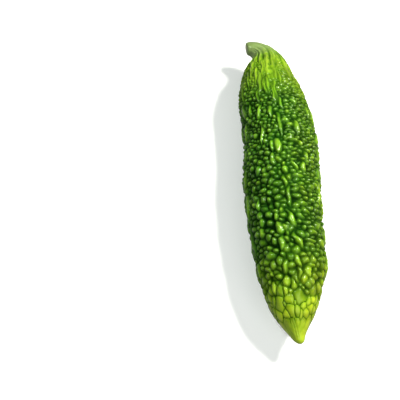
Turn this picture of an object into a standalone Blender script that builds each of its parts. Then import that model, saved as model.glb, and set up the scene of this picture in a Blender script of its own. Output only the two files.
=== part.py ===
"""A bitter melon lying on its side, as one solid.

The fruit is a turned body whose skin is raised into beads, ridge lumps, neck ribs and flat tiles
by a formula, then bent at the neck so that the stub of stem hooks over to one side. Metres, +Z up.
The blossom tip points along -Y and the stem end along +Y. It rests on the plane z = 0.

A place on the skin has two numbers: along, the distance from the blossom tip measured down the
middle of the fruit, and angle, counted round the fruit from its top.
"""

import bpy
import numpy as np

NODE = "bitter_melon"
TURN = 2 * np.pi

# Driving dimensions
STUB_END = 0.2175  # length down the middle of the fruit, hook included
TIP_ROUND = 0.0026  # length of the rounded point
STUB_EDGE = 0.0024  # rounding of the stub's cut edge
STUB_DISH = 0.0003  # how far the cut face sinks at its middle
FLAT_DEPTH = 0.0009  # how much of the lowest beads is pressed flat

# Radius over the tops of the beads, as (along, radius)
OUTLINE = np.array(
    [
        (0.0000, 0.0025), (0.0030, 0.0038), (0.0060, 0.0055), (0.0100, 0.0082), (0.0135, 0.0106),
        (0.0205, 0.0144), (0.0276, 0.0171), (0.0350, 0.0195), (0.0420, 0.0215), (0.0535, 0.0229),
        (0.0690, 0.0240), (0.0850, 0.0248), (0.1070, 0.0258), (0.1250, 0.0255), (0.1500, 0.0249),
        (0.1630, 0.0243), (0.1730, 0.0227), (0.1840, 0.0194), (0.1940, 0.0157), (0.2000, 0.0123),
        (0.2055, 0.0093), (0.2105, 0.0071), (0.2150, 0.0057), (0.2190, 0.0047),
    ]
)
# How far the beads stand out of the valleys, as (along, height)
RELIEF = np.array(
    [
        (0.0000, 0.0000), (0.0080, 0.0001), (0.0130, 0.0005), (0.0220, 0.0010), (0.0320, 0.0018),
        (0.0480, 0.0025), (0.1000, 0.0027), (0.1350, 0.0025), (0.1600, 0.0021), (0.1850, 0.0015),
        (0.2000, 0.0009), (0.2100, 0.0003), (0.2190, 0.0001),
    ]
)
# Distance from bead to bead, as (along, pitch)
PITCH = np.array(
    [
        (0.010, 0.0046), (0.020, 0.0052), (0.034, 0.0048), (0.055, 0.0044), (0.090, 0.0041),
        (0.125, 0.0037), (0.150, 0.0032), (0.175, 0.0027), (0.195, 0.0022), (0.206, 0.0020),
    ]
)
# Beads are this much larger than on the real skin, so that a coarse solid can hold them
BEAD_SCALE = 1.25
BEAD_COUNT = 930
BEADS_FROM, BEADS_TO = 0.011, 0.200
BEAD_SIZES, BEAD_SIZE_SHARES = (1.12, 0.95, 0.70), (0.4, 0.4, 0.2)
BEAD_SPREAD = 1.12  # how far a bead's foot runs under its neighbours'
# A raised shape's section: a high power of d gives a broad top, a low power outside it steep sides
DOME_TOP, DOME_SIDE = 2.4, 0.62
GROOVE = 0.24  # width of the grooves between tiles, as a share of a tile
# Tiles start at TILES_FROM, fill the skin up to TILES_TO, and are gone TILES_FADE later
TILES_FROM, TILES_TO, TILES_FADE = 0.009, 0.021, 0.011

# Sideways drift of the fruit's middle line, as (along, x)
DRIFT = np.array(
    [
        (0.000, 0.0048), (0.006, 0.0032), (0.014, 0.0024), (0.028, 0.0022), (0.045, 0.0023),
        (0.062, 0.0012), (0.080, 0.0002), (0.105, 0.0001), (0.128, 0.0010), (0.146, 0.0000),
        (0.160, -0.0019), (0.172, -0.0035), (0.185, -0.0048), (0.200, -0.0050), (0.219, -0.0050),
    ]
)
# Height of the middle line over the resting plane, as (along, z)
MIDDLE_HEIGHT = np.array(
    [
        (0.000, 0.0217), (0.050, 0.0238), (0.085, 0.0243), (0.115, 0.0250), (0.150, 0.0245),
        (0.185, 0.0255), (0.210, 0.0275), (0.219, 0.0275),
    ]
)
# The neck turns over from HOOK_FROM on; its bend radius is its own radius over HOOK_TIGHT
HOOK_FROM, HOOK_FADE, HOOK_TIGHT = 0.187, 0.014, 0.56

# Shapes placed by hand on the top of the fruit, in millimetres and degrees: along and angle where
# the shape starts, along and angle where it ends, and half its width
LUMPS = [
    (154, -54, 145, -57, 2.0), (150, -35, 141, -41, 1.9), (148, -20, 139, -21, 1.9),
    (142, -9, 124, -8, 1.8), (135, -36, 121, -41, 1.8), (123, -17, 113, -11, 2.6),
    (113, -23, 105, -19, 1.9), (137, 17, 126, 17, 2.4), (151, 44, 142, 49, 1.8),
    (122, 17, 118, 23, 1.9), (114, 28, 109, 34, 1.9), (106, 24, 100, 26, 2.2),
    (103, -5, 98, -1, 2.2), (106, 6, 101, 14, 1.8), (97, -9, 89, -2, 2.1), (106, -44, 100, -48, 2.1),
    (153, 14, 150, 26, 2.5), (73, -23, 69, -23, 1.8), (68, -22, 61, -20, 2.3), (59, -20, 51, -21, 1.9),
    (74, -6, 64, 2, 2.5), (61, -1, 52, 11, 2.3), (90, 0, 77, -1, 2.0), (45, -20, 38, -20, 2.4),
    (48, -2, 41, 4, 2.2), (84, -50, 77, -50, 1.8), (72, -47, 67, -49, 1.8), (66, -51, 60, -52, 2.2),
    (59, 46, 54, 58, 2.0), (36, -20, 31, -21, 2.2), (30, -25, 26, -26, 2.1), (33, -48, 27, -46, 2.2),
    (41, 1, 34, 6, 2.2), (41, 18, 36, 22, 2.3), (33, 47, 29, 56, 1.8), (97, 5, 97, 24, 1.9),
    (80, 10, 79, 29, 1.8), (77, 18, 73, 31, 1.8), (72, 7, 70, 19, 2.0), (57, 16, 57, 38, 1.8),
    (42, 20, 42, 31, 1.8), (38, 31, 35, 42, 1.8), (78, -23, 79, -15, 2.0),
]
RIBS = [
    (212, -22, 186, -27, 2.0), (209, -5, 166, -11, 2.7), (206, 17, 184, 6, 1.8),
    (174, -14, 153, -17, 1.8), (176, -3, 151, -6, 1.8), (209, -66, 176, -34, 1.9),
    (180, -27, 156, -29, 1.8), (184, -55, 166, -50, 1.8), (180, -67, 156, -69, 1.8),
    (204, 38, 190, 30, 1.8), (203, -100, 180, -84, 1.8),
]
TILES = [
    (25, -38, 18, -47, 2.3), (26, -20, 22, -18, 2.4), (28, -1, 21, 6, 2.5), (20, -18, 15, -15, 2.3),
    (20, -3, 15, 1, 1.8), (18, -32, 14, -35, 1.8), (22, 14, 18, 14, 1.8), (18, 23, 14, 29, 1.8),
    (24, 28, 21, 28, 1.8), (21, 36, 17, 38, 1.8), (20, 53, 17, 54, 1.8), (25, -57, 21, -62, 1.8),
]
# The lump under the fruit's weight, which it lies on
REST_LUMP = (98, 180, 112, 180, 3.0)
REST_HEIGHT = 1.16

# Elsewhere lumps follow this many ridges round the fruit
RIDGES = 13
RIDGE_START = np.radians(-22)
RIDGE_FIRST = (0.034, 0.044)  # where the first lump of a ridge starts
RIDGES_TO = 0.150
RIDGE_SWAY, RIDGE_WAVES = 0.07, 26  # radians either way, and radians of the sway in a metre
LUMP_LENGTH, LUMP_GAP = (0.008, 0.020), (0.001, 0.006)
LUMP_HALF_WIDTH = (0.0020, 0.0027)
TOP_SIDE = np.radians(60)  # LUMPS fill the skin this far either way from the top

# Ribs round the neck, each followed by shorter ones
NECK_RIBS = 15
NECK_TOP = np.radians([-106, 24])  # RIBS fill this band of angles
RIB_STARTS, RIB_ENDS = (0.170, 0.186), (0.204, 0.214)
RIB_HALF_WIDTH = (0.0017, 0.0024)
SHORT_RIBS = 2
SHORT_RIB_LENGTH, SHORT_RIB_OVERLAP = (0.008, 0.016), (-0.001, 0.004)
SHORT_RIB_HALF_WIDTH = (0.0015, 0.0021)
SHOULDER_RIB = 0.008  # length of a rib on the right shoulder, where the warts are small

# A raised shape's height as a share of the relief, and how far its ends pass the places given
LONG_HEIGHT, LONG_REACH = (0.96, 1.14), 1.08
BEAD_HEIGHT = (0.82, 0.99)

# How the beads find their places: rounds of pushing, the neighbours looked at either way along
# the fruit, the furthest move in a round, and how far two beads, or a bead and a block, give way
PUSHES, NEIGHBOURS, FURTHEST_PUSH = 36, 110, 0.0009
BEAD_GIVES, BLOCK_GIVES = 0.38, 0.6

SEED = 18
TURNED_STEPS = 256
TURNED_RINGS = 360
TRIANGLES = 11900


def curve_through(knots, x):
    """A smooth curve through the knots that never overshoots them."""
    at, value = knots[:, 0], knots[:, 1]
    gap = np.diff(at)
    rise = np.diff(value) / gap
    blended = (rise[:-1] * gap[1:] + rise[1:] * gap[:-1]) / (gap[1:] + gap[:-1])
    inner = np.where(rise[1:] * rise[:-1] > 0, blended, 0)
    slope = np.concatenate([rise[:1], inner, rise[-1:]])
    x = np.clip(x, at[0], at[-1])
    i = np.clip(np.searchsorted(at, x) - 1, 0, len(gap) - 1)
    t = (x - at[i]) / gap[i]
    return (
        (1 + 2 * t) * (1 - t) ** 2 * value[i]
        + t * (1 - t) ** 2 * gap[i] * slope[i]
        + t * t * (3 - 2 * t) * value[i + 1]
        + t * t * (t - 1) * gap[i] * slope[i + 1]
    )


def ease(x):
    """0 below 0, 1 above 1, and a smooth step between."""
    x = np.clip(x, 0, 1)
    return x * x * (3 - 2 * x)


def wrapped(angle):
    """The same angle between minus half a turn and half a turn."""
    return (angle + np.pi) % TURN - np.pi


def outer_radius(along):
    """Radius over the tops of the beads, with the point rounded as an ellipse is."""
    point = np.sqrt(1 - (1 - np.clip(along / TIP_ROUND, 0, 1)) ** 2)
    return curve_through(OUTLINE, along) * point


def skin_radius(along):
    """Radius of the valleys, which the beads stand on."""
    return np.maximum(outer_radius(along) - curve_through(RELIEF, along), 0)


def bead_pitch(along):
    return BEAD_SCALE * curve_through(PITCH, along)


def profile():
    """The turned outline, from the blossom tip to the middle of the stub's cut face."""
    along = np.concatenate([STUB_END * np.linspace(0, 1, 800) ** 3, np.linspace(0, STUB_END, 3000)])
    along = np.unique(along)
    radius = skin_radius(along)
    corner = np.linspace(0, np.pi / 2, 16)[1:]
    edge_along = STUB_END + STUB_EDGE * np.sin(corner)
    edge_radius = radius[-1] - STUB_EDGE * (1 - np.cos(corner))
    inward = np.linspace(1, 0, 20)[1:]
    face_along = edge_along[-1] - STUB_DISH * (1 - inward)
    face_radius = edge_radius[-1] * inward
    along = np.concatenate([along, edge_along, face_along])
    radius = np.concatenate([radius, edge_radius, face_radius])
    length = np.concatenate([[0], np.cumsum(np.hypot(np.diff(along), np.diff(radius)))])
    even = np.linspace(0, length[-1], TURNED_RINGS)
    return np.interp(even, length, along), np.interp(even, length, radius)


def turned_body():
    """The smooth fruit, turned about Z with its blossom tip at the origin."""
    along, radius = profile()
    mesh = bpy.data.meshes.new("profile")
    points = [(r, 0, z) for z, r in zip(along, radius)][::-1]
    mesh.from_pydata(points, [(i, i + 1) for i in range(len(points) - 1)], [])
    body = bpy.data.objects.new("profile", mesh)
    bpy.context.scene.collection.objects.link(body)
    screw = body.modifiers.new("turn", "SCREW")
    screw.steps = screw.render_steps = TURNED_STEPS
    screw.use_merge_vertices = True
    screw.merge_threshold = 1e-6
    turned = evaluated_mesh(body)
    bpy.data.objects.remove(body)
    return turned


def evaluated_mesh(body):
    graph = bpy.context.evaluated_depsgraph_get()
    return bpy.data.meshes.new_from_object(body.evaluated_get(graph))


def in_metres(rows):
    """Rows placed by hand, turned from millimetres and degrees into metres and radians."""
    return [
        (start / 1000, np.radians(first), end / 1000, np.radians(last), half_width / 1000)
        for start, first, end, last, half_width in rows
    ]


def ridge_rows(rng):
    """Lumps in chains along the ridges, at the sides and underneath."""
    rows = []
    for ridge in range(RIDGES):
        middle = RIDGE_START + TURN * ridge / RIDGES
        phase = rng.uniform(0, TURN)
        start = rng.uniform(*RIDGE_FIRST)
        while start < RIDGES_TO:
            end = start + rng.uniform(*LUMP_LENGTH)
            sway = RIDGE_SWAY * np.sin(RIDGE_WAVES * start + phase)
            angle = middle + sway + rng.normal(0, 0.02)
            lean = rng.normal(0, 0.05)
            half_width = rng.uniform(*LUMP_HALF_WIDTH)
            if abs(wrapped(angle)) > TOP_SIDE:
                rows.append((start, angle - lean, end, angle + lean, half_width))
            start = end + rng.uniform(*LUMP_GAP)
    return rows


def neck_rows(rng):
    """Smooth ribs that run down from the stem and break up into short lengths."""
    rows = []
    for rib in range(NECK_RIBS):
        angle = wrapped(TURN * (rib + 0.5) / NECK_RIBS + rng.normal(0, 0.05))
        end = rng.uniform(*RIB_ENDS)
        start = rng.uniform(*RIB_STARTS)
        foot = angle + rng.normal(0, 0.05)
        half_width = rng.uniform(*RIB_HALF_WIDTH)
        if NECK_TOP[0] < angle < NECK_TOP[1]:
            continue
        if 0 < angle < np.pi / 2:
            start = end - SHOULDER_RIB
        rows.append((start, foot, end, angle, half_width))
        for _ in range(SHORT_RIBS):
            end = start + rng.uniform(*SHORT_RIB_OVERLAP)
            start = end - rng.uniform(*SHORT_RIB_LENGTH)
            if start < RIDGES_TO:
                break
            head = angle + rng.normal(0, 0.10)
            foot = head + rng.normal(0, 0.06)
            rows.append((start, foot, end, head, rng.uniform(*SHORT_RIB_HALF_WIDTH)))
    return rows


def long_raised(rows, rng):
    """Turns rows into raised shapes.

    The columns are the middle's along and angle, half length, half width, height, and the long
    axis as its part along the fruit and its part round it.
    """
    start, first, end, last, half_width = np.array(rows).T
    middle = (start + end) / 2
    by_along = end - start
    by_round = (last - first) * np.maximum(skin_radius(middle), 0.003)
    length = np.hypot(by_along, by_round)
    half_length = np.maximum(length / 2 * LONG_REACH, half_width)
    height = rng.uniform(*LONG_HEIGHT, len(rows))
    columns = [middle, (first + last) / 2, half_length, half_width, height]
    return np.stack([*columns, by_along / length, by_round / length], axis=1)


def blocks_of(long_shapes):
    """Discs strung along each long shape, which keep the beads off it."""
    share = np.linspace(-0.95, 0.95, 9)
    middle, around, half_length, half_width, _, ahead, aside = (c[:, None] for c in long_shapes.T)
    along = middle + share * half_length * ahead
    angle = around + share * half_length * aside / np.maximum(skin_radius(along), 0.003)
    radius = 0.9 * half_width * np.sqrt(1 - 0.8 * share**2)
    return along.ravel(), angle.ravel(), radius.ravel()


def first_places(count, rng):
    """As many beads to an area as the pitch asks, on a spiral round the fruit."""
    line = np.linspace(BEADS_FROM, BEADS_TO, 2000)
    filled = np.cumsum(skin_radius(line) / bead_pitch(line) ** 2)
    along = np.interp((np.arange(count) + 0.5) / count, filled / filled[-1], line)
    golden = np.pi * (3 - np.sqrt(5))
    return along, wrapped(np.arange(count) * golden + rng.normal(0, 0.3, count))


def pushed_apart(along, angle, size, blocks):
    """Moves the beads until they lie side by side, with the blocks where they are."""
    count = len(along)
    along = np.concatenate([along, blocks[0]])
    angle = np.concatenate([angle, blocks[1]])
    moves = np.arange(len(along)) < count
    steps = np.arange(-NEIGHBOURS, NEIGHBOURS + 1)
    for _ in range(PUSHES):
        order = np.argsort(along)
        a, t, free = along[order], angle[order], moves[order]
        radius = np.concatenate([0.5 * bead_pitch(along[:count]) * size, blocks[2]])[order]
        round_it = np.maximum(skin_radius(a), 0.001)
        other = np.arange(len(a))[:, None] + steps
        real = (other >= 0) & (other < len(a)) & (steps != 0)
        other = np.clip(other, 0, len(a) - 1)
        by_along = a[:, None] - a[other]
        by_angle = round_it[:, None] * wrapped(t[:, None] - t[other])
        apart = np.hypot(by_along, by_angle) + 1e-9
        too_near = np.clip(radius[:, None] + radius[other] - apart, 0, None) * real
        push = too_near / apart * np.where(free[other], BEAD_GIVES, BLOCK_GIVES)
        move_along = np.clip((push * by_along).sum(axis=1), -FURTHEST_PUSH, FURTHEST_PUSH)
        move_round = np.clip((push * by_angle).sum(axis=1), -FURTHEST_PUSH, FURTHEST_PUSH)
        along[order] = np.where(free, np.clip(a + move_along, BEADS_FROM, BEADS_TO), a)
        angle[order] = np.where(free, t + move_round / round_it, t)
    return along[:count], wrapped(angle[:count])


def clear_of(along, angle, others):
    """Distance over the skin from each place to the rim of each other disc."""
    by_along = along[:, None] - others[0]
    round_it = np.maximum(skin_radius(along), 0.001)[:, None]
    by_angle = round_it * wrapped(angle[:, None] - others[1])
    return np.hypot(by_along, by_angle) - others[2]


def beads(long_shapes, rng):
    """The beads between the long shapes, as raised shapes."""
    blocks = blocks_of(long_shapes)
    along, angle = first_places(BEAD_COUNT, rng)
    size = rng.choice(BEAD_SIZES, BEAD_COUNT, p=BEAD_SIZE_SHARES) * rng.uniform(0.94, 1.06, BEAD_COUNT)
    along, angle = pushed_apart(along, angle, size, blocks)
    radius = 0.5 * bead_pitch(along) * size
    kept = clear_of(along, angle, blocks).min(axis=1) > 0.35 * radius
    along, angle, radius, size = along[kept], angle[kept], radius[kept], size[kept]
    height = size**0.7 * rng.uniform(*BEAD_HEIGHT, len(along))
    wide = BEAD_SPREAD * radius
    return np.stack([along, angle, wide, wide, height, np.ones(len(along)), np.zeros(len(along))], axis=1)


def raised(along, angle, long_shapes, small_shapes):
    """Height over the skin at each place, as a share of the relief there.

    A shape is a dome on an ellipse: d is the distance from its middle, 1 at its rim, and its
    height is 1 less a power of d, to a power. Where shapes overlap the higher one wins, which
    leaves a crease. Near the blossom tip the small shapes are flat tiles, with a groove where two
    of them are as near.
    """
    skin = np.maximum(skin_radius(along), 0.0004)
    order = np.argsort(along, kind="stable")
    a, t, r = along[order], angle[order], skin[order]
    top = np.zeros(len(a))
    nearest = np.full(len(a), 9.0)
    second = np.full(len(a), 9.0)
    for shapes, is_small in ((long_shapes, False), (small_shapes, True)):
        reach = 2.2 if is_small else 1.0
        for middle, around, half_length, half_width, height, ahead, aside in shapes:
            span = reach * max(half_length, half_width)
            low, high = np.searchsorted(a, [middle - span, middle + span])
            by_along = a[low:high] - middle
            by_round = r[low:high] * wrapped(t[low:high] - around)
            u = (by_along * ahead + by_round * aside) / half_length
            v = (by_round * ahead - by_along * aside) / half_width
            d = np.hypot(u, v)
            inside = np.flatnonzero(d < reach)
            here, d = inside + low, d[inside]
            top[here] = np.maximum(top[here], height * (1 - np.minimum(d, 1) ** DOME_TOP) ** DOME_SIDE)
            if is_small:
                second[here] = np.minimum(second[here], np.maximum(nearest[here], d))
                nearest[here] = np.minimum(nearest[here], d)
    groove = np.exp(-(((second - nearest) / GROOVE) ** 2)) * ease((a - TILES_FROM) / 0.005)
    tile = (1 - groove) * (0.8 + 0.2 * np.clip(1 - nearest**2, 0, 1))
    tiled = 1 - ease((a - TILES_TO) / TILES_FADE)
    share = np.empty(len(a))
    share[order] = (1 - tiled) * top + tiled * tile
    return share


def middle_line():
    """The line that the fruit is bent to: along, heading, x, y and z at even steps."""
    along = np.linspace(-0.002, STUB_END + 0.002, 3000)
    step = along[1] - along[0]
    tight = HOOK_TIGHT * ease((along - HOOK_FROM) / HOOK_FADE)
    heading = np.cumsum(tight / np.maximum(outer_radius(along), 0.0027)) * step
    x = curve_through(DRIFT, along) - np.cumsum(np.sin(heading)) * step
    y = along[0] + np.cumsum(np.cos(heading)) * step
    return along, heading, x, y, curve_through(MIDDLE_HEIGHT, along)


def laid_down(along, angle, radius):
    """Turns (along, angle, radius) into x, y and z on the bent middle line."""
    line, heading, x, y, z = middle_line()
    turn = np.interp(along, line, heading)
    side = radius * np.sin(angle)
    return np.stack(
        [
            np.interp(along, line, x) + side * np.cos(turn),
            np.interp(along, line, y) + side * np.sin(turn),
            np.interp(along, line, z) + radius * np.cos(angle),
        ],
        axis=1,
    )


def raise_and_lay(mesh):
    """Raises the turned body's skin, lays it down, and presses its lowest beads flat."""
    co = np.empty(len(mesh.vertices) * 3, np.float32)
    mesh.vertices.foreach_get("co", co)
    co = co.reshape(-1, 3).astype(float)
    along = co[:, 2]
    radius = np.hypot(co[:, 0], co[:, 1])
    angle = np.arctan2(co[:, 0], -co[:, 1])
    rng = np.random.default_rng(SEED)
    by_hand = in_metres([REST_LUMP, *LUMPS, *RIBS])
    long_shapes = long_raised([*by_hand, *ridge_rows(rng), *neck_rows(rng)], rng)
    long_shapes[0, 4] = REST_HEIGHT
    tiles = long_raised(in_metres(TILES), rng)
    small_shapes = np.concatenate([tiles, beads(np.concatenate([long_shapes, tiles]), rng)])
    height = curve_through(RELIEF, along) * raised(along, angle, long_shapes, small_shapes)
    probe = 1e-5
    slope = (skin_radius(along + probe) - skin_radius(np.maximum(along - probe, 0))) / (2 * probe)
    outward = 1 / np.hypot(1, slope)
    points = laid_down(along - height * slope * outward, angle, radius + height * outward)
    points[:, 2] = np.maximum(points[:, 2] - points[:, 2].min() - FLAT_DEPTH, 0)
    mesh.vertices.foreach_set("co", points.astype(np.float32).ravel())


def thinned(mesh):
    """The same skin with far fewer triangles, most of them where it curves most."""
    body = bpy.data.objects.new("dense", mesh)
    bpy.context.scene.collection.objects.link(body)
    mesh.calc_loop_triangles()
    decimate = body.modifiers.new("thin", "DECIMATE")
    decimate.ratio = TRIANGLES / len(mesh.loop_triangles)
    decimate.use_collapse_triangulate = True
    thin = evaluated_mesh(body)
    bpy.data.objects.remove(body)
    return thin


def centre_on_base(mesh):
    """Puts the origin under the middle of the fruit's box, on the resting plane."""
    co = np.empty(len(mesh.vertices) * 3, np.float32)
    mesh.vertices.foreach_get("co", co)
    co = co.reshape(-1, 3)
    co[:, 2] = np.where(co[:, 2] < 2e-5, 0, co[:, 2])
    co[:, :2] -= (co[:, :2].min(axis=0) + co[:, :2].max(axis=0)) / 2
    mesh.vertices.foreach_set("co", co.ravel())


def waxy_skin():
    """Deep green waxy skin."""
    material = bpy.data.materials.new("melon skin")
    material.use_nodes = True
    shader = material.node_tree.nodes["Principled BSDF"]
    shader.inputs["Base Color"].default_value = (0.11, 0.30, 0.025, 1)
    shader.inputs["Roughness"].default_value = 0.32
    shader.inputs["Metallic"].default_value = 0
    material.diffuse_color = (0.11, 0.30, 0.025, 1)
    return material


def main():
    for old in list(bpy.data.objects):
        bpy.data.objects.remove(old)
    body = turned_body()
    raise_and_lay(body)
    mesh = thinned(body)
    centre_on_base(mesh)
    mesh.name = NODE
    mesh.materials.append(waxy_skin())
    fruit = bpy.data.objects.new(NODE, mesh)
    kept = bpy.data.collections.new("bitter melon")
    bpy.context.scene.collection.children.link(kept)
    kept.objects.link(fruit)


main()
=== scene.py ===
# %% [markdown]
# # A bitter melon and its skin of warts
#
# A bitter melon is one long fruit, and nearly all of its look is in its skin: round glossy beads
# with deep dark valleys between them, longer lumps that follow its ridges, smooth ribs that run
# down from the stem, and flat tiles round the yellow-green blossom end.
#
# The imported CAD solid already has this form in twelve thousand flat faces. This lesson makes one
# finer skin in the same place, gives it a waxy green finish, and sets it on a pale floor.

import bpy
import numpy as np
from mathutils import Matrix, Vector


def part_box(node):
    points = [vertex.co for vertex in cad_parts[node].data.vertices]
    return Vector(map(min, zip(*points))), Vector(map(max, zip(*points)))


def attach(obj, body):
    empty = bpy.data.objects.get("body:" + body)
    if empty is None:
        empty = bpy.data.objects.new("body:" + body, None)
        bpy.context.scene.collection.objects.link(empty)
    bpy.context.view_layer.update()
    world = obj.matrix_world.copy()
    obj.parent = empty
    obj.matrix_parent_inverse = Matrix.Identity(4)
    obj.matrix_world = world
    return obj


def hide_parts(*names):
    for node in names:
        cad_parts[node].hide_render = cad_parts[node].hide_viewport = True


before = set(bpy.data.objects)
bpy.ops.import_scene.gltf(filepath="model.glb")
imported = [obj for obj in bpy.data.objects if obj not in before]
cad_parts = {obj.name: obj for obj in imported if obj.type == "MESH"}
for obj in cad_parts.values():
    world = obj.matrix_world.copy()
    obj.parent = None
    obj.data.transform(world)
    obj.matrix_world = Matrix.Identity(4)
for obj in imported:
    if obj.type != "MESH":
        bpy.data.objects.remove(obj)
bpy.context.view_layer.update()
NODE = "bitter_melon"
box_low, box_high = (np.array(corner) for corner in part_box(NODE))
print("CAD box, mm:", np.round((box_high - box_low) * 1000, 1))

# %% [markdown]
# ## One ruler for the whole lesson
#
# Every size below is in millimetres of the real fruit, which is easy to check with a ruler. The
# ruler itself comes from the frame: the CAD box is 216.5 mm long, so its length fixes what one
# millimetre is. If the CAD were scaled, this skin would be scaled with it.

# %% The ruler, and a few small helpers
FRUIT_LENGTH = 216.5
MM = (box_high[1] - box_low[1]) / FRUIT_LENGTH
TURN = 2 * np.pi


def curve_through(knots, x):
    """A smooth curve through the knots, a cubic between each two.

    Its slope at a knot is the mean of the slopes on either side, weighted by the spans, or
    nothing where the curve turns back there.
    """
    at, value = np.array(knots, float).T
    span = np.diff(at)
    rise = np.diff(value) / span
    blended = (rise[:-1] * span[1:] + rise[1:] * span[:-1]) / (span[1:] + span[:-1])
    inner = np.where(rise[1:] * rise[:-1] > 0, blended, 0)
    slope = np.concatenate([rise[:1], inner, rise[-1:]])
    x = np.clip(x, at[0], at[-1])
    i = np.clip(np.searchsorted(at, x) - 1, 0, len(span) - 1)
    t = (x - at[i]) / span[i]
    return (
        (1 + 2 * t) * (1 - t) ** 2 * value[i]
        + t * (1 - t) ** 2 * span[i] * slope[i]
        + t * t * (3 - 2 * t) * value[i + 1]
        + t * t * (t - 1) * span[i] * slope[i + 1]
    )


def ramp(x, start, over):
    """0 below start, 1 above start plus over, and straight between."""
    return np.clip((x - start) / over, 0, 1)


def ease(x, start, over):
    """The ramp with rounded ends: 3 times its square less 2 times its cube."""
    x = ramp(x, start, over)
    return x * x * (3 - 2 * x)


def wrapped(angle):
    """The same angle, between minus half a turn and half a turn."""
    return (angle + np.pi) % TURN - np.pi


def in_scene(name, data):
    """A new object of the scene that holds the data."""
    thing = bpy.data.objects.new(name, data)
    bpy.context.scene.collection.objects.link(thing)
    return thing


print("one millimetre of the fruit is", round(MM, 7), "m")

# %% [markdown]
# ## The fruit without its warts
#
# A place on the skin has two numbers. `along` is the distance from the blossom tip, measured down
# the middle of the fruit, and `angle` is counted round the fruit from its top. The fruit could be
# sculpted freely, but then the warts would have nothing regular to stand on. A radius for every
# distance along is enough: it gives the slim neck, the full belly and the pointed blossom end.
#
# OUTLINE is the radius over the tops of the warts, and RELIEF says how far the warts stand out of
# the valleys. The skin that the warts grow from is the one less the other.

# %% Outline and relief
STUB_END = 217.5
TIP_ROUND = 2.6
OUTLINE = [
    (0.0, 2.5), (3.0, 3.8), (6.0, 5.5), (10.0, 8.2), (13.5, 10.6), (20.5, 14.4), (27.6, 17.1),
    (35.0, 19.5), (42.0, 21.5), (53.5, 22.9), (69.0, 24.0), (85.0, 24.8), (107.0, 25.8),
    (125.0, 25.5), (150.0, 24.9), (163.0, 24.3), (173.0, 22.7), (184.0, 19.4), (194.0, 15.7),
    (200.0, 12.3), (205.5, 9.3), (210.5, 7.1), (215.0, 5.7), (219.0, 4.7),
]
RELIEF = [
    (0.0, 0.0), (8.0, 0.1), (13.0, 0.5), (22.0, 1.0), (32.0, 1.8), (48.0, 2.5), (100.0, 2.7),
    (135.0, 2.5), (160.0, 2.1), (185.0, 1.5), (200.0, 0.9), (210.0, 0.3), (219.0, 0.1),
]


def outer_radius(along):
    """Radius over the tops of the warts: OUTLINE, times a quarter ellipse that rounds the point."""
    point = np.sqrt(1 - (1 - np.clip(along / TIP_ROUND, 0, 1)) ** 2)
    return curve_through(OUTLINE, along) * point


def skin_radius(along):
    """Radius of the valleys: the outer radius less the relief."""
    return np.maximum(outer_radius(along) - curve_through(RELIEF, along), 0)


print("widest:", round(2 * outer_radius(np.linspace(0, STUB_END, 500)).max(), 1), "mm")

# %% [markdown]
# ## The grid of the skin
#
# The skin is one grid: rows from the blossom tip to the cut stub, columns round the fruit. The
# rows are spaced by the length of the skin itself, not by `along`, so the steep tip gets as many
# as it needs, and they are closer together at the neck, where the warts are finest. The last
# rows turn over the edge of the cut and close the stub with a slightly hollow face.

# %% Rows and columns
COLUMNS = 232
ROWS = 430
UNDERSIDE_SHARE = 0.45  # how much of the top's density the columns underneath keep
ROW_DENSITY = [(0, 0.8), (25, 1.1), (150, 1.1), (178, 1.45), (200, 1.35), (210, 0.8), (219, 0.7)]
UNDERSIDE_FROM, UNDERSIDE_FADE = np.radians([105, 50])
STUB_EDGE = 2.4  # radius of the rounding at the edge of the cut
STUB_DISH = 0.3  # how far the cut face sinks at its middle
# Steps of the lines that the rows and columns are read from
FINE_STEPS, TIP_STEPS, EDGE_STEPS, FACE_STEPS, ANGLE_STEPS = 3000, 800, 16, 20, 4001


def skin_profile():
    """The rows' along and radius, from the tip to the middle of the cut face.

    The outline, then a quarter circle for the cut's edge, then a shallow cone for its face. Rows
    are even steps of the length of that line times ROW_DENSITY.
    """
    near_tip = STUB_END * np.linspace(0, 1, TIP_STEPS) ** 3
    along = np.unique(np.concatenate([near_tip, np.linspace(0, STUB_END, FINE_STEPS)]))
    radius = skin_radius(along)
    corner = np.linspace(0, np.pi / 2, EDGE_STEPS)[1:]
    edge_along = STUB_END + STUB_EDGE * np.sin(corner)
    edge_radius = radius[-1] - STUB_EDGE * (1 - np.cos(corner))
    inward = np.linspace(1, 0, FACE_STEPS)[1:]
    face_along = edge_along[-1] - STUB_DISH * (1 - inward)
    along = np.concatenate([along, edge_along, face_along])
    radius = np.concatenate([radius, edge_radius, edge_radius[-1] * inward])
    step = np.hypot(np.diff(along), np.diff(radius))
    weight = curve_through(ROW_DENSITY, (along[1:] + along[:-1]) / 2)
    travelled = np.concatenate([[0], np.cumsum(step * weight)])
    rows = np.linspace(0, travelled[-1], ROWS)
    return np.interp(rows, travelled, along), np.interp(rows, travelled, radius)


def column_angles():
    """Angles of the columns: even steps of a density that falls towards the underside."""
    angle = np.linspace(-np.pi, np.pi, ANGLE_STEPS)
    under = ease(np.abs(angle), UNDERSIDE_FROM, UNDERSIDE_FADE)
    density = 1 - (1 - UNDERSIDE_SHARE) * under
    passed = np.concatenate([[0], np.cumsum((density[1:] + density[:-1]) / 2)])
    return np.interp(np.linspace(0, passed[-1], COLUMNS + 1)[:-1], passed, angle)


row_along, row_radius = skin_profile()
column_angle = column_angles()
row_pitch = float(np.diff(row_along)[ROWS // 2])
print("grid:", ROWS, "rows of", COLUMNS, "with rows", round(row_pitch, 2), "mm apart on the body")

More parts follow.
